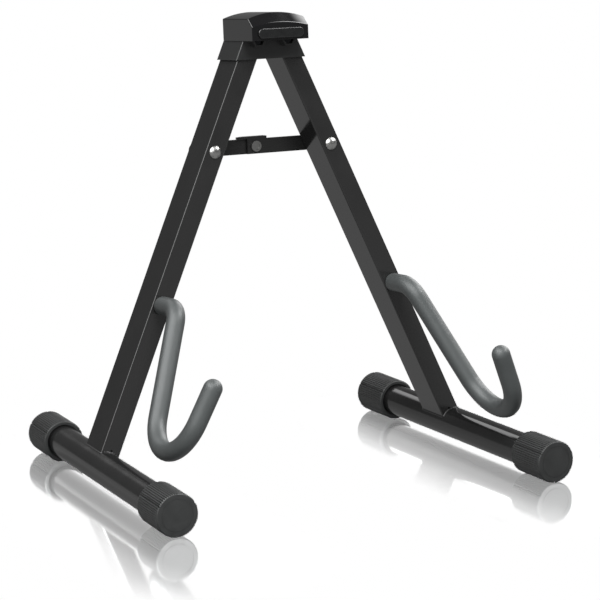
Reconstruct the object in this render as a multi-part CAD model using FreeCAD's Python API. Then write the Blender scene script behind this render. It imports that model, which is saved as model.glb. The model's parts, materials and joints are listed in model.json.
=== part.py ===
import FreeCAD, Part
import math
import os

# Folding A-frame guitar stand. Millimetres and degrees.
# Row frame: origin on the floor under the middle of the feet, +Z up, -Y towards the hooks, +X right.
# Head frame: origin midway between the two leg pivots, z up the leaning frame, y to the rear.
# Leg frame: origin at a leg's pivot, z up along the leg, y to the rear. A leg is symmetric in x.
# Foot frame: origin where the leg axis meets the foot tube's axis, y to the rear along the tube.

# Stance
leg_splay = 24.0        # each leg from upright, seen from the front
lean_back = 5.0         # tilt of the plane that holds both legs
pivot_half = 13.0       # each pivot from the middle plane
leg_length = 352.7      # pivot to foot tube axis

# Legs, pressed from rectangular tube
leg_width = 15.9
leg_depth = 31.8
leg_wall = 1.5
leg_corner = 1.0
leg_bore_corner = 0.8
leg_past_pivot = 9.0
vent_radius = 0.9       # drain hole just above the foot tube

# Feet
foot_front = 160.4      # leg axis to the outer face of the front cap
foot_rear = 114.0
foot_radius = 12.7
foot_wall = 1.5
weld_width = 1.5
weld_rise = 1.2

# Ribbed rubber caps
cap_wall = 4.0          # over the foot tube
cap_length = 38.0
cap_end_wall = 4.0
cap_chamfer = 0.8
cap_grooves = 60
cap_wide_every = 10     # every tenth groove is a wide one
cap_first_groove = 30.0 # angle of the first wide groove, in degrees from level
groove_half = 0.45
groove_depth = 0.85
wide_half = 0.95
wide_depth = 1.25
cap_ring_inset = 4.4    # ring groove in the end face, in from the ribs
cap_ring_width = 0.8
cap_ring_depth = 0.2
cap_mouth_gap = 1.1
cap_mouth_depth = 2.5

# J hooks: steel rod in a foam sleeve
rod_radius = 4.5
foam_wall = 2.8
hook_drop = 220.6       # pivot to the rod's stub, down the leg
hook_stub = 29.2        # front face of the leg to the first bend's corner
hook_bend_radius = 17.0
hook_run_lean = 19.6    # the long run leans forward of the leg
hook_run = 88.0         # first bend's corner to the start of the U bend
hook_u_radius = 34.6
hook_tip_lean = 11.3
hook_tip = 27.1         # end of the U bend to the rod's end

# Leg pivots
bolt_radius = 2.5
bush_wall = 1.5
bolt_head_radius = 4.9
bolt_head_height = 2.7
bolt_head_round = 0.9
bolt_past_nut = 0.5
bolt_socket_flats = 3.0
bolt_socket_depth = 1.5
washer_radius = 5.6
washer_thickness = 1.0
nut_flats = 8.0
nut_height = 4.0
nut_pocket_floor = 0.6  # pocket floor in front of the yoke's front face
nut_pocket_rim = 1.6
nut_boss_reach = 6.9    # boss face in front of the yoke's front face

# Yoke: box bracket that holds the leg tops
yoke_wall = 1.5
yoke_corner = 0.9
yoke_skirt = 15.3       # yoke's lower edge below the pivots
yoke_shoulder = 0.7     # top of its side walls below the pivots
yoke_tongue_top = 11.5

# Hood over the yoke
hood_overhang = 0.6     # each side past the yoke's shoulder
hood_wall = 2.2
hood_low = 0.6          # lower edge below the pivots
hood_reach = 18.4       # front face in front of the yoke's
hood_chamfer_reach = 11.0
hood_back_set = 1.2     # rear rim in front of the yoke's rear face
hood_side_top = 16.6
hood_crown = 21.0
hood_lip_side = 10.1    # front face's top edge at the sides and in the middle
hood_lip_mid = 13.3
hood_edge = 0.9
rib_clearance = 0.5     # between a rib and the nut boss beside it
rib_thickness = 1.6
rib_low = 1.0
screw_place = 8.0
screw_height = 15.0
screw_radius = 1.5
screw_length = 8.0
screw_head_radius = 2.7
screw_head_height = 1.6
screw_head_round = 0.8
screw_tip_gap = 0.5
post_radius = 2.6
post_length = 10.0

# Rubber bumper on the hood's front
bumper_inset = 4.8      # its ends in from the hood's sides
bumper_height = 7.8
bumper_middle = 4.9
bumper_proud = 1.9
bumper_seat = 0.6
bumper_edge = 0.9

# Spreader: two flat bars that fold upward at the middle
rivet_drop = 93.8       # pivot to leg rivet, down the leg
bar_half_height = 6.0
bar_thickness = 2.0
bar_tail = 7.3          # right bar's square end past the middle rivet
tab_left = 16.5
tab_right = 10.0
tab_depth = 7.0
tab_left_depth = 2.2
tab_slope = 7.0
tab_thickness = 1.6
rivet_radius = 2.5
rivet_head_radius = 5.0
rivet_head_rise = 2.4
rivet_rim = 0.5
rivet_back_radius = 4.2
rivet_back_height = 1.6
mid_rivet_radius = 2.0
mid_head_radius = 4.3
mid_head_height = 1.5
mid_recess_radius = 2.9
mid_recess_depth = 0.6
mid_back_radius = 3.8
mid_back_height = 1.3
spacer_radius = 5.0

# Fits
moving_gap = 0.3        # faces that slide past each other
running_fit = 0.05      # radial, round a pin that turns
seat_fit = 0.05         # radial, on a part that is pushed on
seat_gap = 0.2          # between fixed mouldings
cut_past = 1.0          # how far a cutter runs past the face that it cuts
near = 0.01             # an edge this close to a plane lies in it

# Worked out from the sizes above
splay = math.radians(leg_splay)
lean = math.radians(lean_back)
foot_toe_out = math.atan(math.sin(lean) * math.tan(splay))
foot_pitch = math.degrees(math.atan(math.tan(lean) / math.cos(splay)))
cap_radius = foot_radius + cap_wall
cap_ring_radius = cap_radius - cap_ring_inset
foam_radius = rod_radius + foam_wall
bush_radius = bolt_radius + bush_wall
pivot_z = cap_radius + leg_length * math.cos(splay) * math.cos(lean)
foot_joint_y = (foot_front - foot_rear) / 2 * math.cos(foot_toe_out)
pivot_y = foot_joint_y + leg_length * math.cos(splay) * math.sin(lean)
leg_face = leg_depth / 2
yoke_inner = leg_face + moving_gap
yoke_outer = yoke_inner + yoke_wall
hook_reach = leg_face + hook_stub
hood_front = yoke_outer + hood_reach
hood_chamfer_start = yoke_outer + hood_chamfer_reach
hood_back = yoke_outer - hood_back_set
boss_flats = nut_flats + 2 * (nut_pocket_rim + seat_gap)
rib_place = pivot_half - boss_flats / 2 / math.cos(math.radians(30)) - rib_clearance - rib_thickness / 2
rivet_x = pivot_half + rivet_drop * math.sin(splay)
bar_z = -rivet_drop * math.cos(splay)
right_bar_front = leg_face + moving_gap
right_bar_back = right_bar_front + bar_thickness
left_bar_front = right_bar_back + moving_gap
left_bar_back = left_bar_front + bar_thickness

sides = {"left": -1, "right": 1}


def yoke_side(height, inset=0.0):
    """Half width of the yoke's slanting side at a height, less an inset square to the side."""
    across = leg_width / 2 + moving_gap + yoke_wall - inset
    return pivot_half - height * math.tan(splay) + across / math.cos(splay)


hood_half = yoke_side(-yoke_shoulder) + hood_overhang
bumper_half = hood_half - bumper_inset


def vec(x, y, z):
    return FreeCAD.Vector(x, y, z)


def placed(shape, *places):
    """The shape moved by the product of the placements, the outermost one first."""
    total = FreeCAD.Placement()
    for place in places:
        total = total.multiply(place)
    moved = shape.copy()
    moved.Placement = total.multiply(shape.Placement)
    return moved


def turn(axis, angle, x=0.0, y=0.0, z=0.0):
    return FreeCAD.Placement(vec(x, y, z), FreeCAD.Rotation(axis, angle))


x_axis = vec(1, 0, 0)
y_axis = vec(0, 1, 0)
z_axis = vec(0, 0, 1)
head_place = turn(x_axis, -lean_back, y=pivot_y, z=pivot_z)
foot_in_leg = turn(x_axis, foot_pitch, z=-leg_length)


def leg_place(side):
    return head_place.multiply(turn(y_axis, -side * leg_splay, x=side * pivot_half))


def rod_y(radius, y_from, y_to, x=0.0, z=0.0):
    """A round bar along y."""
    return Part.makeCylinder(radius, y_to - y_from, vec(x, y_from, z), y_axis)


def box(x_from, x_to, y_from, y_to, z_from, z_to):
    return Part.makeBox(x_to - x_from, y_to - y_from, z_to - z_from, vec(x_from, y_from, z_from))


def polygon_y(points, y_from, y_to):
    """A prism along y over an outline of (x, z) points."""
    corners = [vec(x, y_from, z) for x, z in points]
    return Part.Face(Part.makePolygon(corners + corners[:1])).extrude(vec(0, y_to - y_from, 0))


def hexagon_y(flats, y_from, y_to, x=0.0, z=0.0):
    """A hexagonal prism along y with a flat at its bottom."""
    corner = flats / 2 / math.cos(math.radians(30))
    angles = [math.radians(60 * k) for k in range(6)]
    return polygon_y([(x + corner * math.cos(a), z + corner * math.sin(a)) for a in angles], y_from, y_to)


def rounded_bar_z(width, depth, corner, z_from, z_to):
    """A rectangular bar along z with rounded long edges."""
    bar = box(-width / 2, width / 2, -depth / 2, depth / 2, z_from, z_to)
    long_edges = [e for e in bar.Edges if abs(e.tangentAt(e.FirstParameter).z) > 0.9]
    return bar.makeFillet(corner, long_edges)


# Legs

def leg_blank(grow=0.0):
    size = (leg_width + 2 * grow, leg_depth + 2 * grow, leg_corner + grow)
    return rounded_bar_z(*size, -leg_length, leg_past_pivot)


def make_leg_tube():
    bore = rounded_bar_z(leg_width - 2 * leg_wall, leg_depth - 2 * leg_wall, leg_bore_corner,
                         -leg_length - cut_past, leg_past_pivot + cut_past)
    tube = leg_blank().cut(bore)
    through = leg_face + cut_past
    wall_inside = leg_wall + cut_past - leg_face
    cutters = [
        placed(rod_y(foot_radius, -leg_depth, leg_depth), foot_in_leg),
        rod_y(bush_radius + seat_fit, -through, through),
        rod_y(rivet_radius + seat_fit, -through, through, z=-rivet_drop),
        rod_y(rod_radius + seat_fit, -through, wall_inside, z=-hook_drop),
        rod_y(vent_radius, -through, wall_inside, z=foot_radius - leg_length),
    ]
    return tube.cut(cutters)


def make_pivot_bush():
    bush = rod_y(bush_radius, -leg_face, leg_face)
    return bush.cut(rod_y(bolt_radius + running_fit, -leg_depth, leg_depth))


def make_foot_tube():
    y_from = cap_end_wall - foot_front
    y_to = foot_rear - cap_end_wall
    outer = rod_y(foot_radius, y_from, y_to)
    return outer.cut(rod_y(foot_radius - foot_wall, y_from - cut_past, y_to + cut_past))


def make_foot_weld():
    """A bead round the leg where it sits on the foot tube."""
    tube = rod_y(foot_radius, -leg_depth, leg_depth)
    swollen = rod_y(foot_radius + weld_rise, -leg_depth, leg_depth)
    upper = box(-leg_depth, leg_depth, -leg_depth, leg_depth, 0, leg_depth)
    collar = placed(swollen.common(upper).cut(tube), foot_in_leg)
    return collar.common(leg_blank(weld_width)).cut(leg_blank())


def groove_shape(number):
    """Half width and depth of one groove round a cap."""
    wide = number % cap_wide_every == 0
    return (wide_half, wide_depth) if wide else (groove_half, groove_depth)


def cap_outline():
    """The ribbed outline: an arc for each rib's crest and a V for each groove."""
    pitch = 2 * math.pi / cap_grooves
    first = math.radians(cap_first_groove)
    edges = []

    def point(radius, angle):
        return vec(radius * math.cos(angle), 0, radius * math.sin(angle))

    for number in range(cap_grooves):
        angle = first + number * pitch
        half, depth = groove_shape(number)
        next_half = groove_shape(number + 1)[0]
        start = angle - half / cap_radius
        end = angle + half / cap_radius
        next_start = angle + pitch - next_half / cap_radius
        bottom = point(cap_radius - depth, angle)
        edges.append(Part.LineSegment(point(cap_radius, start), bottom).toShape())
        edges.append(Part.LineSegment(bottom, point(cap_radius, end)).toShape())
        crest = (point(cap_radius, end), point(cap_radius, (end + next_start) / 2))
        edges.append(Part.Arc(*crest, point(cap_radius, next_start)).toShape())
    return Part.Wire(edges)


def make_foot_cap():
    """One cap, its closed end at y = 0 and its mouth towards +y."""
    ribbed = Part.Face(cap_outline()).extrude(vec(0, cap_length, 0))
    edge = cap_radius - cap_chamfer
    over = cap_chamfer + cut_past
    profile = [
        vec(0, 0, 0),
        vec(edge, 0, 0),
        vec(edge + over, over, 0),
        vec(edge + over, cap_length - over, 0),
        vec(edge, cap_length, 0),
        vec(0, cap_length, 0),
        vec(0, 0, 0),
    ]
    turned = Part.Face(Part.makePolygon(profile)).revolve(vec(0, 0, 0), y_axis, 360)
    bore_radius = foot_radius + seat_fit
    ring_outer = rod_y(cap_ring_radius + cap_ring_width / 2, -cut_past, cap_ring_depth)
    ring_inner = rod_y(cap_ring_radius - cap_ring_width / 2, -2 * cut_past, cap_length)
    cutters = [
        rod_y(bore_radius, cap_end_wall, cap_length + cut_past),
        rod_y(bore_radius + cap_mouth_gap, cap_length - cap_mouth_depth, cap_length + cut_past),
        ring_outer.cut(ring_inner),
    ]
    return ribbed.common(turned).cut(cutters)


# Hooks

def hook_path(start):
    """Edges of the bent rod from start mm in front of the leg's middle, in the leg's middle plane."""
    first_turn = hook_run_lean - 90
    u_turn = 180 - hook_run_lean - hook_tip_lean
    corner_cut = hook_bend_radius * math.tan(math.radians(-first_turn / 2))
    steps = [
        ("straight", hook_reach - corner_cut - start, 0),
        ("bend", hook_bend_radius, first_turn),
        ("straight", hook_run - corner_cut, 0),
        ("bend", hook_u_radius, u_turn),
        ("straight", hook_tip, 0),
    ]
    forward, up, heading = start, -hook_drop, 0.0
    edges = []

    def point(at_forward, at_up):
        return vec(0, -at_forward, at_up)

    for kind, size, angle in steps:
        here = point(forward, up)
        if kind == "straight":
            forward += size * math.cos(heading)
            up += size * math.sin(heading)
            edges.append(Part.LineSegment(here, point(forward, up)).toShape())
            continue
        hand = math.copysign(1, angle)
        middle_forward = forward - hand * size * math.sin(heading)
        middle_up = up + hand * size * math.cos(heading)
        stations = []
        for share in (0.5, 1.0):
            at = heading + math.radians(angle) * share
            stations.append((middle_forward + hand * size * math.sin(at),
                             middle_up - hand * size * math.cos(at)))
        edges.append(Part.Arc(here, point(*stations[0]), point(*stations[1])).toShape())
        forward, up = stations[1]
        heading += math.radians(angle)
    return edges


def hook_pipe(radius, start):
    edges = hook_path(start)
    profile = Part.Wire(Part.makeCircle(radius, vec(0, -start, -hook_drop), y_axis))
    return Part.Wire(edges).makePipeShell([profile], True, True)


def make_hook_rod():
    return hook_pipe(rod_radius, leg_wall - leg_face)


def make_hook_foam():
    tip = hook_path(0)[-1].Vertexes[-1].Point
    outer = hook_pipe(foam_radius, leg_face + moving_gap).fuse(Part.makeSphere(foam_radius, tip))
    bore = hook_pipe(rod_radius + seat_fit, leg_face)
    return outer.cut(bore).removeSplitter()


# Rivets and spreader

def dome(radius, rise, x=0.0, y=0.0, z=0.0):
    """A low dome on the face at y, standing towards -y."""
    ball = (radius ** 2 + rise ** 2) / (2 * rise)
    sphere = Part.makeSphere(ball, vec(x, y - rise + ball, z))
    return sphere.common(rod_y(radius, y - rise, y, x, z))


def rivet_front(y_end):
    """Head in front of the leg and shank to y_end, in the leg frame."""
    head = rod_y(rivet_head_radius, -leg_face - rivet_rim, -leg_face, z=-rivet_drop)
    top = dome(rivet_head_radius, rivet_head_rise, y=-leg_face - rivet_rim, z=-rivet_drop)
    shank = rod_y(rivet_radius, -leg_face, y_end, z=-rivet_drop)
    return head.fuse([top, shank])


def make_leg_rivet_left():
    back_from = left_bar_back + moving_gap
    back_to = back_from + rivet_back_height
    back = rod_y(rivet_back_radius, back_from, back_to, z=-rivet_drop)
    return rivet_front(back_to).fuse(back)


def make_leg_rivet_right():
    return rivet_front(leg_face)


def make_rivet_spacer():
    ring = rod_y(spacer_radius, leg_face, right_bar_back, z=-rivet_drop)
    hole = rod_y(rivet_radius + seat_fit, leg_face - cut_past, right_bar_back + cut_past, z=-rivet_drop)
    return ring.cut(hole)


def make_rivet_tail():
    shank = rod_y(rivet_radius, right_bar_front, right_bar_back, rivet_x, bar_z)
    back = rod_y(rivet_back_radius, right_bar_back, right_bar_back + rivet_back_height, rivet_x, bar_z)
    return shank.fuse(back).removeSplitter()


def make_spreader_left():
    low = bar_z - bar_half_height
    high = bar_z + bar_half_height
    bar = box(-rivet_x, 0, left_bar_front, left_bar_back, low, high)
    ends = [rod_y(bar_half_height, left_bar_front, left_bar_back, x, bar_z) for x in (-rivet_x, 0)]
    front, back = left_bar_front - cut_past, left_bar_back + cut_past
    holes = [
        rod_y(rivet_radius + running_fit, front, back, -rivet_x, bar_z),
        rod_y(mid_rivet_radius + seat_fit, front, back, 0, bar_z),
    ]
    return bar.fuse(ends).removeSplitter().cut(holes)


def make_spreader_right():
    """The front bar, with the stop tab that rests on the left bar's top edge."""
    low = bar_z - bar_half_height
    high = bar_z + bar_half_height
    tab_low = high + moving_gap
    tab_high = tab_low + tab_thickness
    bar = box(-bar_tail, rivet_x, right_bar_front, right_bar_back, low, high)
    end = rod_y(bar_half_height, right_bar_front, right_bar_back, rivet_x, bar_z)
    neck = box(-bar_tail, tab_right, right_bar_front, right_bar_back, high, tab_high)
    outline = [
        (-tab_left, right_bar_front),
        (tab_right, right_bar_front),
        (tab_right, right_bar_front + tab_depth),
        (tab_slope - tab_left, right_bar_front + tab_depth),
        (-tab_left, right_bar_front + tab_left_depth),
    ]
    corners = [vec(x, y, tab_low) for x, y in outline]
    tab = Part.Face(Part.makePolygon(corners + corners[:1])).extrude(vec(0, 0, tab_thickness))
    front, back = right_bar_front - cut_past, right_bar_back + cut_past
    holes = [
        rod_y(rivet_radius + seat_fit, front, back, rivet_x, bar_z),
        rod_y(mid_rivet_radius + running_fit, front, back, 0, bar_z),
    ]
    return bar.fuse([end, neck, tab]).removeSplitter().cut(holes)


def make_mid_rivet():
    """Fast in the left bar; the right bar turns on it. Its front end is rolled over like a tube."""
    head_back = right_bar_front - seat_gap
    head_front = head_back - mid_head_height
    head = rod_y(mid_head_radius, head_front, head_back, 0, bar_z)
    recess = rod_y(mid_recess_radius, head_front - cut_past, head_front + mid_recess_depth, 0, bar_z)
    shank = rod_y(mid_rivet_radius, head_back, left_bar_back, 0, bar_z)
    back = rod_y(mid_back_radius, left_bar_back, left_bar_back + mid_back_height, 0, bar_z)
    return head.cut(recess).fuse([shank, back]).removeSplitter()


# Head

def yoke_block(y_from, y_to, z_from, z_to, inset=0.0):
    low = yoke_side(z_from, inset)
    high = yoke_side(z_to, inset)
    return polygon_y([(-low, z_from), (low, z_from), (high, z_to), (-high, z_to)], y_from, y_to)


def arch_wire(y, half, low, side_top, crown):
    """The head's section at y: flat bottom, upright sides and an arched top."""
    a, b = vec(-half, y, low), vec(half, y, low)
    c, d = vec(half, y, side_top), vec(-half, y, side_top)
    return Part.Wire([
        Part.LineSegment(a, b).toShape(),
        Part.LineSegment(b, c).toShape(),
        Part.Arc(c, vec(0, y, crown), d).toShape(),
        Part.LineSegment(d, a).toShape(),
    ])


def hood_block(inset, y_back, low):
    """The hood's outer shape, or its hollow when inset by the wall."""
    half = hood_half - inset
    tall = (half, low, hood_side_top - inset, hood_crown - inset)
    short = (half, low, hood_lip_side - inset, hood_lip_mid - inset)
    rear = Part.makeLoft([arch_wire(y_back, *tall), arch_wire(-hood_chamfer_start, *tall)], True, True)
    nose = [arch_wire(-hood_chamfer_start, *tall), arch_wire(inset - hood_front, *short)]
    return rear.fuse(Part.makeLoft(nose, True, True)).removeSplitter()


def make_yoke():
    low = -yoke_skirt
    shoulder = -yoke_shoulder
    skirt = yoke_block(-yoke_outer, yoke_outer, low, shoulder)
    corners = [e for e in skirt.Edges if abs(e.tangentAt(e.FirstParameter).z) > 0.5]
    skirt = skirt.makeFillet(yoke_corner, corners)
    hollow = yoke_block(-yoke_inner, yoke_inner, low - cut_past, shoulder + cut_past, yoke_wall)
    plate_half = hood_half - hood_wall - seat_gap
    tongue = box(-plate_half, plate_half, -yoke_outer, -yoke_inner, shoulder, yoke_tongue_top)
    lift = hood_wall + seat_gap
    back = Part.Face(arch_wire(yoke_inner, plate_half, shoulder, hood_side_top - lift, hood_crown - lift))
    back = back.extrude(vec(0, yoke_wall, 0))
    boss_front = -yoke_outer - nut_boss_reach
    pocket_back = -yoke_outer - nut_pocket_floor
    bosses = []
    holes = []
    for side in sides.values():
        x = side * pivot_half
        bosses.append(hexagon_y(boss_flats, boss_front, -yoke_outer, x))
        holes.append(hexagon_y(nut_flats + 2 * seat_gap, boss_front - cut_past, pocket_back, x))
        holes.append(rod_y(bolt_radius + seat_fit, boss_front - cut_past, yoke_outer + cut_past, x))
        holes.append(rod_y(screw_radius + seat_fit, yoke_inner - cut_past, yoke_outer + cut_past,
                           side * screw_place, screw_height))
    return skirt.cut(hollow).fuse([tongue, back] + bosses).removeSplitter().cut(holes)


def make_hood():
    outer = hood_block(0, hood_back, -hood_low)
    above_rim = [e for e in outer.Edges if e.BoundBox.ZMax > near - hood_low]
    outer = outer.makeFillet(hood_edge, above_rim)
    shell = outer.cut(hood_block(hood_wall, hood_back + cut_past, -hood_low - cut_past))
    trimmed = hood_block(hood_wall / 2, hood_back, -hood_low)
    inside = []
    for side in sides.values():
        rib_x = side * rib_place
        rib = box(rib_x - rib_thickness / 2, rib_x + rib_thickness / 2,
                  hood_wall / 2 - hood_front, -yoke_outer - seat_gap, rib_low, hood_crown)
        web = box(side * screw_place - rib_thickness / 2, side * screw_place + rib_thickness / 2,
                  yoke_inner - post_length, yoke_inner - seat_gap, screw_height, hood_crown)
        inside.append(rib.common(trimmed))
        inside.append(web.common(trimmed))
        inside.append(rod_y(post_radius, yoke_inner - post_length, yoke_inner - seat_gap,
                            side * screw_place, screw_height))
    shell = shell.fuse(inside).removeSplitter()
    cutters = [pill(0.0, bumper_seat - hood_front, -hood_front - cut_past, seat_fit)]
    for side in sides.values():
        cutters.append(rod_y(screw_radius + seat_fit, yoke_inner - screw_length, yoke_inner + cut_past,
                             side * screw_place, screw_height))
    return shell.cut(cutters)


def pill(edge_round, y_back, y_front, grow=0.0):
    """The bumper's outline as a prism, with its front edge rounded."""
    radius = bumper_height / 2 + grow
    run = bumper_half - bumper_height / 2
    middle = box(-run, run, y_front, y_back, bumper_middle - radius, bumper_middle + radius)
    ends = [rod_y(radius, y_front, y_back, side * run, bumper_middle) for side in sides.values()]
    solid = middle.fuse(ends).removeSplitter()
    if edge_round == 0:
        return solid
    front = [e for e in solid.Edges if e.BoundBox.YMax < y_front + near]
    return solid.makeFillet(edge_round, front)


def make_bumper():
    return pill(bumper_edge, bumper_seat - hood_front, -hood_front - bumper_proud)


def make_bolt(side):
    x = side * pivot_half
    seat = yoke_outer + washer_thickness
    nut_front = -yoke_outer - nut_pocket_floor - nut_height
    shank = rod_y(bolt_radius, nut_front - bolt_past_nut, seat, x)
    head = rod_y(bolt_head_radius, seat, seat + bolt_head_height, x)
    top = seat + bolt_head_height
    head = head.makeFillet(bolt_head_round, [e for e in head.Edges if e.BoundBox.YMin > top - near])
    socket = hexagon_y(bolt_socket_flats, top - bolt_socket_depth, top + cut_past, x)
    return shank.fuse(head).removeSplitter().cut(socket)


def make_nut(side):
    x = side * pivot_half
    back = -yoke_outer - nut_pocket_floor
    nut = hexagon_y(nut_flats, back - nut_height, back, x)
    return nut.cut(rod_y(bolt_radius + seat_fit, back - nut_height - cut_past, back + cut_past, x))


def make_washer(side):
    x = side * pivot_half
    back = yoke_outer + washer_thickness
    ring = rod_y(washer_radius, yoke_outer, back, x)
    return ring.cut(rod_y(bolt_radius + seat_fit, yoke_outer - cut_past, back + cut_past, x))


def make_hood_screw(side):
    x = side * screw_place
    tip = yoke_inner - screw_length + screw_tip_gap
    shank = rod_y(screw_radius, tip, yoke_outer, x, screw_height)
    head = rod_y(screw_head_radius, yoke_outer, yoke_outer + screw_head_height, x, screw_height)
    top = [e for e in head.Edges if e.BoundBox.YMin > yoke_outer + screw_head_height - near]
    return shank.fuse(head.makeFillet(screw_head_round, top)).removeSplitter()


def both(make):
    """The same fastener on each side, as one group of separate solids."""
    return Part.makeCompound([make(side) for side in sides.values()])


nodes = {
    "head_yoke": placed(make_yoke(), head_place),
    "head_hood": placed(make_hood(), head_place),
    "head_bumper": placed(make_bumper(), head_place),
    "hinge_nuts": placed(both(make_nut), head_place),
    "hinge_washers": placed(both(make_washer), head_place),
    "hood_screws": placed(both(make_hood_screw), head_place),
    "spreader_bar_left": placed(make_spreader_left(), head_place),
    "spreader_bar_right": placed(make_spreader_right(), head_place),
    "spreader_mid_rivet": placed(make_mid_rivet(), head_place),
    "spreader_rivet_tail": placed(make_rivet_tail(), head_place),
    "spreader_spacer": placed(make_rivet_spacer(), leg_place(-1)),
    "leg_rivet_left": placed(make_leg_rivet_left(), leg_place(-1)),
    "leg_rivet_right": placed(make_leg_rivet_right(), leg_place(1)),
}

leg_parts = {
    "leg_tube": make_leg_tube(),
    "pivot_bush": make_pivot_bush(),
    "foot_weld": make_foot_weld(),
    "hook_rod": make_hook_rod(),
    "hook_foam": make_hook_foam(),
}
foot_tube = make_foot_tube()
foot_cap = make_foot_cap()

for name, side in sides.items():
    leg = leg_place(side)
    nodes["hinge_bolt_" + name] = placed(make_bolt(side), head_place)
    for part_name, shape in leg_parts.items():
        nodes[part_name + "_" + name] = placed(shape, leg)
    nodes["foot_tube_" + name] = placed(foot_tube, leg, foot_in_leg)
    # The caps are turned on the tube so that their wide grooves stand the same way on both feet.
    level = turn(y_axis, side * leg_splay)
    to_front = turn(y_axis, 0, y=-foot_front)
    to_rear = turn(z_axis, 180, y=foot_rear)
    nodes["foot_cap_front_" + name] = placed(foot_cap, leg, foot_in_leg, level, to_front)
    nodes["foot_cap_rear_" + name] = placed(foot_cap, leg, foot_in_leg, level, to_rear)

os.makedirs("parts", exist_ok=True)
for name, shape in nodes.items():
    shape.exportStep("parts/" + name + ".step")
    print(name, "solids", len(shape.Solids), "valid", shape.isValid(), "mm3", round(shape.Volume, 1))
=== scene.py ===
import json
import math

import bmesh
import bpy
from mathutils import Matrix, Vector


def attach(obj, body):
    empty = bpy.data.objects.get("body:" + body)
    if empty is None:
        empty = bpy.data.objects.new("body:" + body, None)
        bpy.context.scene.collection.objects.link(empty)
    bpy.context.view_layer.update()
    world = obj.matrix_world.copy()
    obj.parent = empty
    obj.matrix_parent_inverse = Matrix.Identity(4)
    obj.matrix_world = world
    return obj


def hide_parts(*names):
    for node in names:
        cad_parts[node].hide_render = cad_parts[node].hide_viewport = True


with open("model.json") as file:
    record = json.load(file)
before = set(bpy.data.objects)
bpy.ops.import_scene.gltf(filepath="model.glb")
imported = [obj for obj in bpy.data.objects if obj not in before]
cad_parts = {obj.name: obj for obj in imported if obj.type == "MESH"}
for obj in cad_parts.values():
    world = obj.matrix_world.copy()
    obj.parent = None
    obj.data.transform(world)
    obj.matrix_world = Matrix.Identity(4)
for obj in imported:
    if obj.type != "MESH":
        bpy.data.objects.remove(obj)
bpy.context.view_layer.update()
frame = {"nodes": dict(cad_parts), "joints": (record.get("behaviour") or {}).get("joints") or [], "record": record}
nodes = frame["nodes"]
joints = {joint["name"]: joint for joint in frame["joints"]}
slotOf = {part["node"]: part["material_slot"] for part in frame["record"]["subparts"]}
mm = 0.001
print("frame loaded,", len(nodes), "nodes")


# The stand's own directions, read from its joints: forward is square to the leaning frame.
forward = Vector(joints["leg_left_fold"]["axis"]).normalized()
pivots = {
    "left": Vector(joints["leg_left_fold"]["pos_m"]),
    "right": Vector(joints["leg_right_fold"]["pos_m"]),
}
leftDown = (Vector(joints["spreader_left_turn"]["pos_m"]) - pivots["left"]).normalized()
downLeg = {"left": leftDown, "right": Vector((-leftDown.x, leftDown.y, leftDown.z))}


def legPoint(side, along, ahead, across=0.0):
    # mm down the leg from its pivot, mm in front of its middle, mm across it
    down = downLeg[side]
    out = forward.cross(down)
    return pivots[side] + (down * along + forward * ahead + out * across) * mm


# Colour and node helpers

def linear(hexColour):
    values = [int(hexColour[i:i + 2], 16) / 255 for i in (1, 3, 5)]
    return tuple(v / 12.92 if v <= 0.04045 else ((v + 0.055) / 1.055) ** 2.4 for v in values) + (1.0,)


def addNode(tree, kind, settings, links=None):
    node = tree.nodes.new(kind)
    for name, value in settings.items():
        if isinstance(name, str) and hasattr(node, name):
            setattr(node, name, value)
        else:
            node.inputs[name].default_value = value
    for name, source in (links or {}).items():
        tree.links.new(source, node.inputs[name])
    return node


def perMm(size):
    # texture scale for a pattern of that many mm, on coordinates in metres
    return 1 / (size * mm)


def newMaterial(name):
    material = bpy.data.materials.new(name)
    material.use_nodes = True
    tree = material.node_tree
    tree.nodes.clear()
    shader = addNode(tree, "ShaderNodeBsdfPrincipled", {})
    addNode(tree, "ShaderNodeOutputMaterial", {}, {"Surface": shader.outputs["BSDF"]})
    place = addNode(tree, "ShaderNodeTexCoord", {}).outputs["Object"]
    return material, tree, shader, place


def finishSurface(tree, shader, look, tint, wear, relief):
    # tint runs from the dark colour to the light one, wear from the low roughness to the high one
    # over the look's spread, and relief lifts the surface by the look's height in mm
    low, high = look["spread"]
    colour = addNode(tree, "ShaderNodeMix",
                     {"data_type": "RGBA", 6: linear(look["dark"]), 7: linear(look["light"])},
                     {0: tint})
    rough = addNode(tree, "ShaderNodeMapRange",
                    {"From Min": low, "From Max": high,
                     "To Min": look["roughLow"], "To Max": look["roughHigh"]},
                    {"Value": wear})
    bump = addNode(tree, "ShaderNodeBump",
                   {"Strength": look["bump"], "Distance": look["height"] * mm},
                   {"Height": relief})
    tree.links.new(colour.outputs[2], shader.inputs["Base Color"])
    tree.links.new(rough.outputs["Result"], shader.inputs["Roughness"])
    tree.links.new(bump.outputs["Normal"], shader.inputs["Normal"])


# Gloss black powder coat, sprayed and baked on steel tube: a deep black with clear reflections
# that swim a little over its faint orange peel.
powderCoat = {"dark": "#1A1A1A", "light": "#202020", "ior": 1.5, "cloud": 28.0, "cloudDetail": 3.0,
              "spread": (0.3, 0.7), "roughLow": 0.12, "roughHigh": 0.20,
              "peel": 1.4, "peelDetail": 1.5, "bump": 0.5, "height": 0.002}


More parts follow.
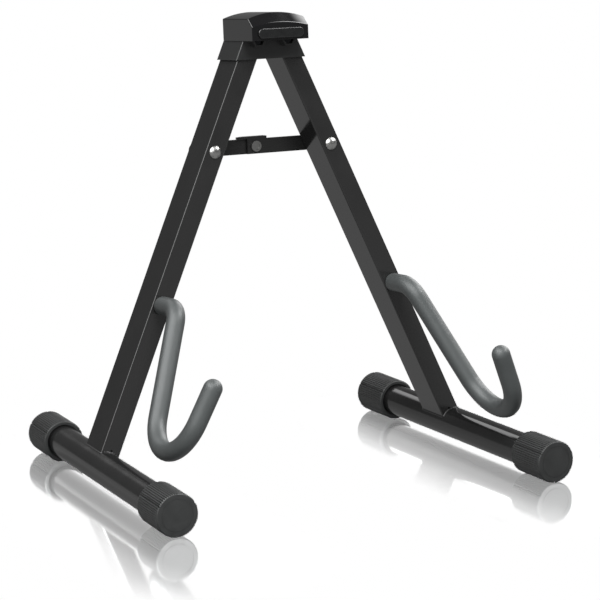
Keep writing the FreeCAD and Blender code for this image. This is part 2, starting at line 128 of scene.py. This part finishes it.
def makePowderCoat():
    look = powderCoat
    material, tree, shader, place = newMaterial("powderCoatGlossBlack")
    shader.inputs["IOR"].default_value = look["ior"]
    cloud = addNode(tree, "ShaderNodeTexNoise",
                    {"Scale": perMm(look["cloud"]), "Detail": look["cloudDetail"]}, {"Vector": place})
    peel = addNode(tree, "ShaderNodeTexNoise",
                   {"Scale": perMm(look["peel"]), "Detail": look["peelDetail"]}, {"Vector": place})
    finishSurface(tree, shader, look, tint=cloud.outputs["Fac"], wear=cloud.outputs["Fac"],
                  relief=peel.outputs["Fac"])
    return material


# Thinner semi-gloss black on flat bar that was rolled and punched: faint rolling lines show through.
# The real lines are finer, and are drawn half a mm apart so that they show.
barPaint = {"dark": "#101010", "light": "#171717", "ior": 1.5,
            "line": 0.5, "length": 14.0, "lineDetail": 3.0,
            "spread": (0.3, 0.7), "roughLow": 0.24, "roughHigh": 0.36, "bump": 0.5, "height": 0.008}


def makeBarPaint():
    look = barPaint
    material, tree, shader, place = newMaterial("semiGlossBlackOnFlatBar")
    shader.inputs["IOR"].default_value = look["ior"]
    stretch = addNode(tree, "ShaderNodeMapping",
                      {"Scale": (perMm(look["length"]), perMm(look["line"]), perMm(look["line"]))},
                      {"Vector": place})
    lines = addNode(tree, "ShaderNodeTexNoise", {"Scale": 1.0, "Detail": look["lineDetail"]},
                    {"Vector": stretch.outputs["Vector"]})
    finishSurface(tree, shader, look, tint=lines.outputs["Fac"], wear=lines.outputs["Fac"],
                  relief=lines.outputs["Fac"])
    return material


# ABS from a polished mould: the shiniest surface of the stand, with only slow waves where it shrank
# and fine scuffs that dull it a little.
hoodAbs = {"dark": "#09090A", "light": "#0E0E0F", "ior": 1.53, "wave": 9.0, "waveDetail": 1.0,
           "scuff": 0.35, "scuffDetail": 4.0, "spread": (0.35, 0.75), "roughLow": 0.06, "roughHigh": 0.12,
           "bump": 0.4, "height": 0.012}


def makeHoodAbs():
    look = hoodAbs
    material, tree, shader, place = newMaterial("polishedBlackAbs")
    shader.inputs["IOR"].default_value = look["ior"]
    wave = addNode(tree, "ShaderNodeTexNoise",
                   {"Scale": perMm(look["wave"]), "Detail": look["waveDetail"]}, {"Vector": place})
    scuff = addNode(tree, "ShaderNodeTexNoise",
                    {"Scale": perMm(look["scuff"]), "Detail": look["scuffDetail"]}, {"Vector": place})
    finishSurface(tree, shader, look, tint=wave.outputs["Fac"], wear=scuff.outputs["Fac"],
                  relief=wave.outputs["Fac"])
    return material


# Glass-filled nylon from a finely sparked mould: satin, with a tight grain that breaks up reflections.
# The real grain is nearer 0.1 mm, and is drawn coarser so that it shows.
yokeNylon = {"dark": "#161616", "light": "#202121", "ior": 1.53, "grain": 0.45,
             "mottle": 6.0, "mottleDetail": 4.0, "spread": (0.0, 0.8), "roughLow": 0.30, "roughHigh": 0.42,
             "bump": 0.35, "height": 0.02}


def makeYokeNylon():
    look = yokeNylon
    material, tree, shader, place = newMaterial("glassFilledNylonBlack")
    shader.inputs["IOR"].default_value = look["ior"]
    grain = addNode(tree, "ShaderNodeTexVoronoi", {"Scale": perMm(look["grain"])}, {"Vector": place})
    mottle = addNode(tree, "ShaderNodeTexNoise",
                     {"Scale": perMm(look["mottle"]), "Detail": look["mottleDetail"]}, {"Vector": place})
    finishSurface(tree, shader, look, tint=mottle.outputs["Fac"], wear=grain.outputs["Distance"],
                  relief=grain.outputs["Distance"])
    return material


# Moulded rubber with a bloom that greys it in patches: a smooth, satin pad on the hood, and matte,
# a little chalky caps on the feet. Its skin's grain is drawn coarser than it is, so that it shows.
moulded = {
    "bumper_rubber": {"name": "smoothBlackRubber", "dark": "#0D0D0E", "light": "#141515", "ior": 1.52,
                      "patch": 5.0, "patchDetail": 5.0, "spread": (0.3, 0.7),
                      "roughLow": 0.20, "roughHigh": 0.30,
                      "skin": 0.35, "skinDetail": 2.0, "bump": 0.4, "height": 0.01},
    "cap_rubber": {"name": "ribbedMatteRubber", "dark": "#1D1E1E", "light": "#292A2A", "ior": 1.52,
                   "patch": 8.0, "patchDetail": 5.0, "spread": (0.3, 0.7),
                   "roughLow": 0.50, "roughHigh": 0.66,
                   "skin": 0.40, "skinDetail": 2.0, "bump": 0.4, "height": 0.03},
}


def makeRubber(look):
    material, tree, shader, place = newMaterial(look["name"])
    shader.inputs["IOR"].default_value = look["ior"]
    patch = addNode(tree, "ShaderNodeTexNoise",
                    {"Scale": perMm(look["patch"]), "Detail": look["patchDetail"]}, {"Vector": place})
    skin = addNode(tree, "ShaderNodeTexNoise",
                   {"Scale": perMm(look["skin"]), "Detail": look["skinDetail"]}, {"Vector": place})
    finishSurface(tree, shader, look, tint=patch.outputs["Fac"], wear=patch.outputs["Fac"],
                  relief=skin.outputs["Fac"])
    return material


# Closed-cell foam tube with its extruded skin on: dark grey, soft broad sheen, tiny cells just visible.
foamSkin = {"dark": "#3C3F3F", "light": "#444747", "ior": 1.45, "cell": 0.7,
            "patch": 11.0, "patchDetail": 4.0, "spread": (0.0, 0.8), "roughLow": 0.38, "roughHigh": 0.50,
            "bump": 0.3, "height": 0.05}


def makeFoam():
    look = foamSkin
    material, tree, shader, place = newMaterial("closedCellFoamGrey")
    shader.inputs["IOR"].default_value = look["ior"]
    cells = addNode(tree, "ShaderNodeTexVoronoi", {"Scale": perMm(look["cell"])}, {"Vector": place})
    patch = addNode(tree, "ShaderNodeTexNoise",
                    {"Scale": perMm(look["patch"]), "Detail": look["patchDetail"]}, {"Vector": place})
    finishSurface(tree, shader, look, tint=patch.outputs["Fac"], wear=cells.outputs["Distance"],
                  relief=cells.outputs["Distance"])
    return material


# Steel: nickel-flashed rivets with a satin tumbled skin, black zinc fasteners, a bare drawn rod.
# The real grain is under 0.1 mm, and is drawn coarser so that it shows.
steels = {
    "rivet_steel": {"name": "satinNickelRivet", "dark": "#969694", "light": "#B0B0AE",
                    "grain": 0.30, "grainDetail": 4.0, "spread": (0.3, 0.7),
                    "roughLow": 0.26, "roughHigh": 0.38, "bump": 0.4, "height": 0.010},
    "black_zinc": {"name": "blackZincPlate", "dark": "#2A2B2C", "light": "#3A3B3D",
                   "grain": 0.45, "grainDetail": 4.0, "spread": (0.3, 0.7),
                   "roughLow": 0.20, "roughHigh": 0.34, "bump": 0.4, "height": 0.008},
    "rod_steel": {"name": "drawnSteelRod", "dark": "#7C7B79", "light": "#9A9A98",
                  "grain": 0.25, "grainDetail": 4.0, "spread": (0.3, 0.7),
                  "roughLow": 0.35, "roughHigh": 0.50, "bump": 0.4, "height": 0.010},
}


def makeSteel(look):
    material, tree, shader, place = newMaterial(look["name"])
    shader.inputs["Metallic"].default_value = 1.0
    grain = addNode(tree, "ShaderNodeTexNoise",
                    {"Scale": perMm(look["grain"]), "Detail": look["grainDetail"]}, {"Vector": place})
    finishSurface(tree, shader, look, tint=grain.outputs["Fac"], wear=grain.outputs["Fac"],
                  relief=grain.outputs["Fac"])
    return material


materials = {
    "leg_paint": makePowderCoat(),
    "painted_bar": makeBarPaint(),
    "hood_abs": makeHoodAbs(),
    "yoke_nylon": makeYokeNylon(),
    "foam": makeFoam(),
}
materials.update({slot: makeRubber(look) for slot, look in moulded.items()})
materials.update({slot: makeSteel(look) for slot, look in steels.items()})

for name, node in nodes.items():
    node.data.materials.clear()
    node.data.materials.append(materials[slotOf[name]])
print("materials on", len(nodes), "nodes")


def newPiece(name, mesh, slot, body):
    # links a finished bmesh as a smooth object that rides on a body
    data = bpy.data.meshes.new(name)
    bmesh.ops.recalc_face_normals(mesh, faces=mesh.faces)
    mesh.to_mesh(data)
    mesh.free()
    for face in data.polygons:
        face.use_smooth = True
    data.materials.append(materials[slot])
    piece = bpy.data.objects.new(name, data)
    bpy.context.scene.collection.objects.link(piece)
    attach(piece, body)
    return piece


def joinRings(mesh, rings, closed=False):
    # quads between each ring of vertices and the next
    pairs = list(zip(rings, rings[1:]))
    if closed:
        pairs.append((rings[-1], rings[0]))
    for first, second in pairs:
        count = len(first)
        for i in range(count):
            j = (i + 1) % count
            mesh.faces.new((first[i], first[j], second[j], second[i]))


# Foam sleeves: one skin from the cut end at the leg to the domed tip, and the bore inside.
# Lengths are mm, lean and tipLean are degrees from upright.
sleeve = {"start": 16.2, "drop": 220.6, "reach": 45.1, "bend": 17.0, "lean": 19.6, "run": 88.0,
          "uBend": 34.6, "tipLean": 11.3, "tip": 27.1, "outer": 7.3, "bore": 4.6, "cutRound": 0.7,
          "step": 1.5, "fewest": 2, "around": 56, "rimSteps": 4, "domeSteps": 10}


def hookStations():
    # the rod's middle line as (ahead, up, heading) in its leg's plane, mm and radians
    s = sleeve
    firstTurn = math.radians(s["lean"] - 90)
    uTurn = math.radians(180 - s["lean"] - s["tipLean"])
    corner = s["bend"] * math.tan(-firstTurn / 2)
    stretches = [("straight", s["reach"] - corner - s["start"], 0.0), ("bend", s["bend"], firstTurn),
                 ("straight", s["run"] - corner, 0.0), ("bend", s["uBend"], uTurn),
                 ("straight", s["tip"], 0.0)]
    ahead, up, heading = s["start"], -s["drop"], 0.0
    stations = [(ahead, up, heading)]
    for kind, size, turn in stretches:
        length = size if kind == "straight" else size * abs(turn)
        count = max(s["fewest"], round(length / s["step"]))
        for i in range(1, count + 1):
            share = i / count
            if kind == "straight":
                stations.append((ahead + size * share * math.cos(heading),
                                 up + size * share * math.sin(heading), heading))
                continue
            hand = math.copysign(1, turn)
            at = heading + turn * share
            stations.append((ahead + hand * size * (math.sin(at) - math.sin(heading)),
                             up - hand * size * (math.cos(at) - math.cos(heading)), at))
        ahead, up, heading = stations[-1]
    return stations


def makeSleeve(side):
    s = sleeve
    mesh = bmesh.new()
    stations = hookStations()

    def ring(station, radius, push=0.0):
        # a ring of vertices round the middle line, pushed on along it by that many mm
        ahead, up, heading = station
        ahead += push * math.cos(heading)
        up += push * math.sin(heading)
        verts = []
        for i in range(s["around"]):
            a = 2 * math.pi * i / s["around"]
            inPlane = radius * math.cos(a)
            across = radius * math.sin(a)
            spot = legPoint(side, -(up + inPlane * math.cos(heading)),
                            ahead - inPlane * math.sin(heading), across)
            verts.append(mesh.verts.new(spot))
        return verts

    first, last = stations[0], stations[-1]
    rings = [ring(station, s["bore"]) for station in reversed(stations)]
    for i in range(s["rimSteps"] + 1):  # the cut end's rounded rim
        a = math.pi / 2 * i / s["rimSteps"]
        radius = s["outer"] - s["cutRound"] * (1 - math.sin(a))
        rings.append(ring(first, radius, s["cutRound"] * (1 - math.cos(a))))
    rings += [ring(station, s["outer"]) for station in stations[1:]]
    for i in range(1, s["domeSteps"]):  # the domed tip
        a = math.pi / 2 * i / s["domeSteps"]
        rings.append(ring(last, s["outer"] * math.cos(a), s["outer"] * math.sin(a)))
    joinRings(mesh, rings)
    ahead, up, heading = last
    pole = mesh.verts.new(legPoint(side, -(up + s["outer"] * math.sin(heading)),
                                   ahead + s["outer"] * math.cos(heading)))
    plug = mesh.verts.new(legPoint(side, -up, ahead))
    for i in range(s["around"]):
        j = (i + 1) % s["around"]
        mesh.faces.new((rings[-1][i], rings[-1][j], pole))
        mesh.faces.new((rings[0][j], rings[0][i], plug))
    piece = newPiece("foamSleeve_" + side, mesh, "foam", "leg_" + side)
    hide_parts("hook_foam_" + side)


for side in pivots:
    makeSleeve(side)
print("foam sleeves made")


# Weld: a rippled bead round the foot of each leg, painted over with the tube. Lengths are mm.
weld = {"halfWide": 7.95, "halfDeep": 15.9, "corner": 1.0, "cornerSteps": 8, "above": 300.0,
        "bead": 0.75, "ripple": 0.07, "pitch": 1.7, "step": 0.42, "around": 12}


def weldOutline():
    # points (across, ahead) round the leg's rounded section, evenly spaced
    w = weld
    innerWide, innerDeep = w["halfWide"] - w["corner"], w["halfDeep"] - w["corner"]
    corners = [(innerWide, innerDeep, 0), (-innerWide, innerDeep, 90),
               (-innerWide, -innerDeep, 180), (innerWide, -innerDeep, 270)]
    dense = []
    for x, y, start in corners:
        for i in range(w["cornerSteps"] + 1):
            a = math.radians(start + 90 * i / w["cornerSteps"])
            dense.append(Vector((x + w["corner"] * math.cos(a), y + w["corner"] * math.sin(a))))
    dense.append(dense[0])
    lengths = [(b - a).length for a, b in zip(dense, dense[1:])]
    total = sum(lengths)
    count = round(total / w["step"])
    points, travelled, leg = [], 0.0, 0
    for i in range(count):
        target = total * i / count
        while travelled + lengths[leg] < target:
            travelled += lengths[leg]
            leg += 1
        share = (target - travelled) / lengths[leg]
        points.append(dense[leg].lerp(dense[leg + 1], share))
    return points, total


def makeWeld(side):
    w = weld
    outline, total = weldOutline()
    ripples = round(total / w["pitch"])
    turns = [2 * math.pi * k / w["around"] for k in range(w["around"])]
    foot = nodes["foot_tube_" + side]
    # the leg's outline dropped along the leg onto the foot tube
    centre = [foot.ray_cast(legPoint(side, w["above"], point.y, point.x), downLeg[side])[1]
              for point in outline]
    mesh = bmesh.new()
    rings = []
    for i, spot in enumerate(centre):
        tangent = (centre[(i + 1) % len(centre)] - centre[i - 1]).normalized()
        wave = math.sin(2 * math.pi * ripples * i / len(centre))
        radius = (w["bead"] + w["ripple"] * wave) * mm
        first = tangent.cross(downLeg[side]).normalized()
        second = tangent.cross(first)
        rings.append([mesh.verts.new(spot + (first * math.cos(a) + second * math.sin(a)) * radius)
                      for a in turns])
    joinRings(mesh, rings, closed=True)
    piece = newPiece("weldBead_" + side, mesh, "leg_paint", "leg_" + side)
    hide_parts("foot_weld_" + side)


for side in pivots:
    makeWeld(side)
print("weld beads made")


# Studio: a gloss white sheet in a dim room. Gloss on the stand mirrors the sheet, the room and the
# glows, and stays black between them. The lens sees a white room, and the sheet only as a mirror.
studio = {"floorSize": 12.0, "floorRough": 0.07, "shineGain": 6.0, "floorDim": 0.44, "roomDim": 0.17,
          "white": 1.0, "middle": (0, 0, 0.15)}

# Where the sheet mirrors the stand: beside a line under each foot, and fading out from near to far, in
# metres. Close to the line it has painted shade, which dims it, and from steep to low it goes from no mirror to a
# full one.
mirror = {"footLine": 0.165, "footMiddle": -0.045, "footHalf": 0.150, "near": 0.03, "far": 0.10,
          "share": 0.86, "shadeNear": 0.004, "shadeFar": 0.035, "shade": 0.45,
          "steep": 0.35, "low": 0.78}

# Way is the direction from the stand, core and edge are degrees from it where the glow starts to fade
# and where it ends, and glow is its radiance.
glows = {
    "leftGlow": {"way": (-0.62, -0.35, 0.70), "core": 12, "edge": 40, "glow": 6.5},
    "leftRearGlow": {"way": (-0.62, 0.30, 0.74), "core": 5, "edge": 18, "glow": 8.0},
    "rightGlow": {"way": (0.62, -0.25, 0.75), "core": 5, "edge": 20, "glow": 14.0},
    "farGlow": {"way": (0.75, 0.42, 0.50), "core": 8, "edge": 28, "glow": 6.0},
    "rearGlow": {"way": (-0.02, 0.76, 0.65), "core": 2, "edge": 15, "glow": 2.6},
}

# Lamps for matte surfaces: matte is how bright a white card that faces the lamp comes out.
lamps = {
    "topLamp": {"way": (-0.12, -0.56, 0.82), "reach": 1.6, "size": 0.8, "matte": 2.0},
    "leftLamp": {"way": (-0.62, -0.75, 0.22), "reach": 0.9, "size": 0.4, "matte": 0.55},
    "bounceLamp": {"way": (-0.30, -0.50, -0.60), "reach": 1.2, "size": 1.0, "matte": 0.25},
}


def makeSheetGloss():
    # Gloss white plastic sheet, polished: it mirrors what stands on it, and more at a low angle.
    material = bpy.data.materials.new("glossWhiteSheet")
    material.use_nodes = True
    tree = material.node_tree
    tree.nodes.clear()

    # distance from the nearer foot's line
    place = addNode(tree, "ShaderNodeTexCoord", {}).outputs["Object"]
    parts = addNode(tree, "ShaderNodeSeparateXYZ", {}, {0: place})
    across = addNode(tree, "ShaderNodeMath", {"operation": "ABSOLUTE"}, {0: parts.outputs["X"]})
    beside = addNode(tree, "ShaderNodeMath", {"operation": "SUBTRACT", 1: mirror["footLine"]},
                     {0: across.outputs[0]})
    along = addNode(tree, "ShaderNodeMath", {"operation": "SUBTRACT", 1: mirror["footMiddle"]},
                    {0: parts.outputs["Y"]})
    length = addNode(tree, "ShaderNodeMath", {"operation": "ABSOLUTE"}, {0: along.outputs[0]})
    past = addNode(tree, "ShaderNodeMath", {"operation": "SUBTRACT", 1: mirror["footHalf"]},
                   {0: length.outputs[0]})
    beyond = addNode(tree, "ShaderNodeMath", {"operation": "MAXIMUM", 1: 0.0}, {0: past.outputs[0]})
    spot = addNode(tree, "ShaderNodeCombineXYZ", {}, {0: beside.outputs[0], 1: beyond.outputs[0]})
    away = addNode(tree, "ShaderNodeVectorMath", {"operation": "LENGTH"}, {0: spot.outputs[0]})

    # what the lens sees: the mirror near the feet, and elsewhere the white room through a clear
    # sheet, so the folded feet show where they hang lower
    share = addNode(tree, "ShaderNodeMapRange",
                    {"From Min": mirror["near"], "From Max": mirror["far"],
                     "To Min": mirror["share"], "To Max": 0.0},
                    {"Value": away.outputs["Value"]})
    facing = addNode(tree, "ShaderNodeLayerWeight", {"Blend": 0.5}).outputs["Facing"]
    low = addNode(tree, "ShaderNodeMapRange", {"From Min": mirror["steep"], "From Max": mirror["low"]},
                  {"Value": facing})
    mirrored = addNode(tree, "ShaderNodeMath", {"operation": "MULTIPLY"},
                       {0: share.outputs[0], 1: low.outputs[0]})
    gain = studio["shineGain"]
    clear = addNode(tree, "ShaderNodeBsdfTransparent", {})
    shine = addNode(tree, "ShaderNodeBsdfAnisotropic",
                    {"Color": (gain, gain, gain, 1), "Roughness": studio["floorRough"]})
    seen = addNode(tree, "ShaderNodeMixShader", {},
                   {0: mirrored.outputs[0], 1: clear.outputs[0], 2: shine.outputs[0]})

    # what the stand's gloss sees: a dim sheet, with painted shade that darkens it by the feet
    shade = addNode(tree, "ShaderNodeMapRange",
                    {"From Min": mirror["shadeNear"], "From Max": mirror["shadeFar"],
                     "To Min": mirror["shade"] * studio["floorDim"], "To Max": studio["floorDim"]},
                    {"Value": away.outputs["Value"]})
    dim = addNode(tree, "ShaderNodeEmission", {"Color": (1, 1, 1, 1)}, {"Strength": shade.outputs[0]})
    path = addNode(tree, "ShaderNodeLightPath", {})
    both = addNode(tree, "ShaderNodeMixShader", {},
                   {0: path.outputs["Is Camera Ray"], 1: dim.outputs[0], 2: seen.outputs[0]})
    addNode(tree, "ShaderNodeOutputMaterial", {}, {"Surface": both.outputs[0]})
    return material


def makeFloor():
    mesh = bmesh.new()
    bmesh.ops.create_grid(mesh, x_segments=1, y_segments=1, size=studio["floorSize"])
    data = bpy.data.meshes.new("studioFloor")
    mesh.to_mesh(data)
    mesh.free()
    data.materials.append(makeSheetGloss())
    floor = bpy.data.objects.new("studioFloor", data)
    bpy.context.scene.collection.objects.link(floor)
    floor.visible_diffuse = False
    floor.visible_shadow = False


def makeWorld():
    world = bpy.data.worlds.new("studioWorld")
    world.use_nodes = True
    tree = world.node_tree
    tree.nodes.clear()
    way = addNode(tree, "ShaderNodeTexCoord", {}).outputs["Generated"]
    lobes = []
    for look in glows.values():
        towards = addNode(tree, "ShaderNodeVectorMath",
                          {"operation": "DOT_PRODUCT", 1: Vector(look["way"]).normalized()}, {0: way})
        lobe = addNode(tree, "ShaderNodeMapRange",
                       {"interpolation_type": "SMOOTHSTEP",
                        "From Min": math.cos(math.radians(look["edge"])),
                        "From Max": math.cos(math.radians(look["core"])), "To Max": look["glow"]},
                       {"Value": towards.outputs["Value"]})
        lobes.append(lobe.outputs["Result"])
    first, *others = lobes
    level = addNode(tree, "ShaderNodeMath", {"operation": "ADD", 1: studio["roomDim"]}, {0: first})
    for lobe in others:
        level = addNode(tree, "ShaderNodeMath", {"operation": "ADD"}, {0: lobe, 1: level.outputs[0]})
    room = addNode(tree, "ShaderNodeBackground", {"Color": (1, 1, 1, 1)}, {"Strength": level.outputs[0]})
    white = addNode(tree, "ShaderNodeBackground", {"Color": (1, 1, 1, 1), "Strength": studio["white"]})
    path = addNode(tree, "ShaderNodeLightPath", {})
    both = addNode(tree, "ShaderNodeMixShader", {},
                   {0: path.outputs["Is Camera Ray"], 1: room.outputs[0], 2: white.outputs[0]})
    addNode(tree, "ShaderNodeOutputWorld", {}, {"Surface": both.outputs[0]})
    world.cycles_visibility.diffuse = False
    bpy.context.scene.world = world


def makeLamp(name, look):
    light = bpy.data.lights.new(name, "AREA")
    light.size = look["size"]
    light.energy = look["matte"] * (math.pi * look["reach"]) ** 2
    lamp = bpy.data.objects.new(name, light)
    bpy.context.scene.collection.objects.link(lamp)
    way = Vector(look["way"]).normalized()
    lamp.location = way * look["reach"] + Vector(studio["middle"])
    lamp.rotation_euler = way.to_track_quat("Z", "Y").to_euler()
    lamp.visible_camera = False
    lamp.visible_glossy = False


makeFloor()
makeWorld()
for name, look in lamps.items():
    makeLamp(name, look)
print("studio made")


# Camera: low on the stand's left, with a long lens. Distances are metres, the lens is mm.
viewFrom = {"azimuth": -27.44, "elevation": 11.62, "distance": 2.1945, "aim": (0.0347, 0.0500, 0.1239),
            "lens": 162.35, "sensor": 36.0, "near": 0.01, "far": 50.0}


def makeCamera():
    v = viewFrom
    a, e = math.radians(v["azimuth"]), math.radians(v["elevation"])
    back = Vector((math.sin(a) * math.cos(e), -math.cos(a) * math.cos(e), math.sin(e)))
    lens = bpy.data.cameras.new("camera")
    lens.lens = v["lens"]
    lens.sensor_width = v["sensor"]
    lens.clip_start = v["near"]
    lens.clip_end = v["far"]
    camera = bpy.data.objects.new("camera", lens)
    bpy.context.scene.collection.objects.link(camera)
    camera.location = Vector(v["aim"]) + back * v["distance"]
    camera.rotation_euler = back.to_track_quat("Z", "Y").to_euler()
    bpy.context.scene.camera = camera


makeCamera()
bpy.context.scene.view_settings.view_transform = "Standard"
print("camera made")
